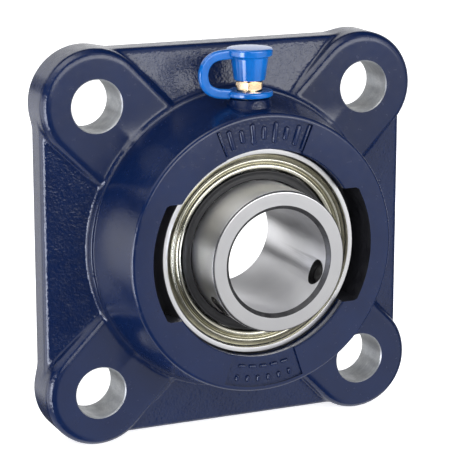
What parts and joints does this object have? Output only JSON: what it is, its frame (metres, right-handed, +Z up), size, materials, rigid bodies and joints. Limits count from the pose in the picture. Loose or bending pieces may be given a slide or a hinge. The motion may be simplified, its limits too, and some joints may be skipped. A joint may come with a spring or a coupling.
{
  "type": "flange mount bearing",
  "caption": "Square flange bearing unit: cast housing bolted flat to a wall, carrying a self-aligning ball bearing insert with set screws, seals and a capped grease nipple.",
  "frame": {"origin": "centre of the mounting face, on the shaft's axis", "axes": "+Y out of the mounting face towards the wall, +Z up through the grease nipple, +X to the right seen from the front"},
  "size_m": [0.0968, 0.0363, 0.0969],
  "materials": {
    "navy_paint": "gloss enamel over as-cast iron",
    "ground_steel": "fine ground bearing steel",
    "ball_steel": "polished",
    "pressed_steel": "bright rolled strip",
    "zinc_steel": "yellowish zinc plate",
    "black_rubber": "matt moulded nitrile",
    "blackened_steel": "black oxide",
    "nipple_brass": "turned",
    "blue_plastic": "glossy moulded"
  },
  "bodies": {
    "housing": {"housing": "navy_paint", "grease_nipple": "nipple_brass", "nipple_spring": "pressed_steel"},
    "insert": {"outer_ring": "ground_steel", "front_seal_shield": "zinc_steel", "rear_seal_shield": "zinc_steel", "front_seal_lip": "black_rubber", "rear_seal_lip": "black_rubber"},
    "inner_ring": {"inner_ring": "ground_steel"},
    "cage": {"cage_front_half": "pressed_steel", "cage_rear_half": "pressed_steel", "cage_rivet_1": "pressed_steel", "cage_rivet_2": "pressed_steel", "cage_rivet_3": "pressed_steel", "cage_rivet_4": "pressed_steel", "cage_rivet_5": "pressed_steel", "cage_rivet_6": "pressed_steel", "cage_rivet_7": "pressed_steel", "cage_rivet_8": "pressed_steel", "cage_rivet_9": "pressed_steel"},
    "ball_1": {"ball_1": "ball_steel"},
    "ball_2": {"ball_2": "ball_steel"},
    "ball_3": {"ball_3": "ball_steel"},
    "ball_4": {"ball_4": "ball_steel"},
    "ball_5": {"ball_5": "ball_steel"},
    "ball_6": {"ball_6": "ball_steel"},
    "ball_7": {"ball_7": "ball_steel"},
    "ball_8": {"ball_8": "ball_steel"},
    "ball_9": {"ball_9": "ball_steel"},
    "set_screw_1": {"set_screw_1": "blackened_steel"},
    "set_screw_2": {"set_screw_2": "blackened_steel"},
    "cap_ring": {"cap_ring": "blue_plastic", "cap_strap": "blue_plastic"},
    "cap": {"nipple_cap": "blue_plastic"},
    "check_ball": {"nipple_check_ball": "ball_steel"}
  },
  "joints": [
    {"name": "insert_alignment", "type": "hinge", "parent": "housing", "child": "insert", "pos_m": [0, -0.0175, 0], "axis": [1, 0, 0], "range_deg": [-3, 3]},
    {"name": "inner_ring_spin", "type": "hinge", "parent": "insert", "child": "inner_ring", "pos_m": [0, -0.0175, 0], "axis": [0, 1, 0], "continuous": true},
    {"name": "cage_spin", "type": "hinge", "parent": "insert", "child": "cage", "pos_m": [0, -0.0175, 0], "axis": [0, 1, 0], "continuous": true},
    {"name": "ball_1_spin", "type": "hinge", "parent": "cage", "child": "ball_1", "pos_m": [0, -0.0175, 0.0195], "axis": [0, 1, 0], "continuous": true},
    {"name": "ball_2_spin", "type": "hinge", "parent": "cage", "child": "ball_2", "pos_m": [-0.01253, -0.0175, 0.01494], "axis": [0, 1, 0], "continuous": true},
    {"name": "ball_3_spin", "type": "hinge", "parent": "cage", "child": "ball_3", "pos_m": [-0.0192, -0.0175, 0.00339], "axis": [0, 1, 0], "continuous": true},
    {"name": "ball_4_spin", "type": "hinge", "parent": "cage", "child": "ball_4", "pos_m": [-0.01689, -0.0175, -0.00975], "axis": [0, 1, 0], "continuous": true},
    {"name": "ball_5_spin", "type": "hinge", "parent": "cage", "child": "ball_5", "pos_m": [-0.00667, -0.0175, -0.01832], "axis": [0, 1, 0], "continuous": true},
    {"name": "ball_6_spin", "type": "hinge", "parent": "cage", "child": "ball_6", "pos_m": [0.00667, -0.0175, -0.01832], "axis": [0, 1, 0], "continuous": true},
    {"name": "ball_7_spin", "type": "hinge", "parent": "cage", "child": "ball_7", "pos_m": [0.01689, -0.0175, -0.00975], "axis": [0, 1, 0], "continuous": true},
    {"name": "ball_8_spin", "type": "hinge", "parent": "cage", "child": "ball_8", "pos_m": [0.0192, -0.0175, 0.00339], "axis": [0, 1, 0], "continuous": true},
    {"name": "ball_9_spin", "type": "hinge", "parent": "cage", "child": "ball_9", "pos_m": [0.01253, -0.0175, 0.01494], "axis": [0, 1, 0], "continuous": true},
    {"name": "set_screw_1_feed", "type": "slide", "parent": "inner_ring", "child": "set_screw_1", "axis": [-0.9272, 0, 0.3746], "range_m": [-0.003, 0.0012]},
    {"name": "set_screw_2_feed", "type": "slide", "parent": "inner_ring", "child": "set_screw_2", "axis": [0.788, 0, 0.6157], "range_m": [-0.003, 0.0012]},
    {"name": "cap_swivel", "type": "hinge", "parent": "housing", "child": "cap_ring", "pos_m": [0, -0.0193, 0.0372], "axis": [0, 0, 1], "range_deg": [-15, 195]},
    {"name": "cap_pull", "type": "slide", "parent": "cap_ring", "child": "cap", "axis": [0, 0, 1], "range_m": [0, 0.009], "deforming": ["cap_strap"]},
    {"name": "check_ball_travel", "type": "slide", "parent": "housing", "child": "check_ball", "axis": [0, 0, 1], "range_m": [-0.0008, 0], "stiffness_N_per_m": 300, "springref_m": 0.0005, "deforming": ["nipple_spring"]}
  ],
  "couplings": [
    {"joint": "cage_spin", "follows": "inner_ring_spin", "ratio": 0.3982},
    {"joint": "ball_1_spin", "follows": "inner_ring_spin", "ratio": -2.355},
    {"joint": "ball_2_spin", "follows": "inner_ring_spin", "ratio": -2.355},
    {"joint": "ball_3_spin", "follows": "inner_ring_spin", "ratio": -2.355},
    {"joint": "ball_4_spin", "follows": "inner_ring_spin", "ratio": -2.355},
    {"joint": "ball_5_spin", "follows": "inner_ring_spin", "ratio": -2.355},
    {"joint": "ball_6_spin", "follows": "inner_ring_spin", "ratio": -2.355},
    {"joint": "ball_7_spin", "follows": "inner_ring_spin", "ratio": -2.355},
    {"joint": "ball_8_spin", "follows": "inner_ring_spin", "ratio": -2.355},
    {"joint": "ball_9_spin", "follows": "inner_ring_spin", "ratio": -2.355}
  ]
}
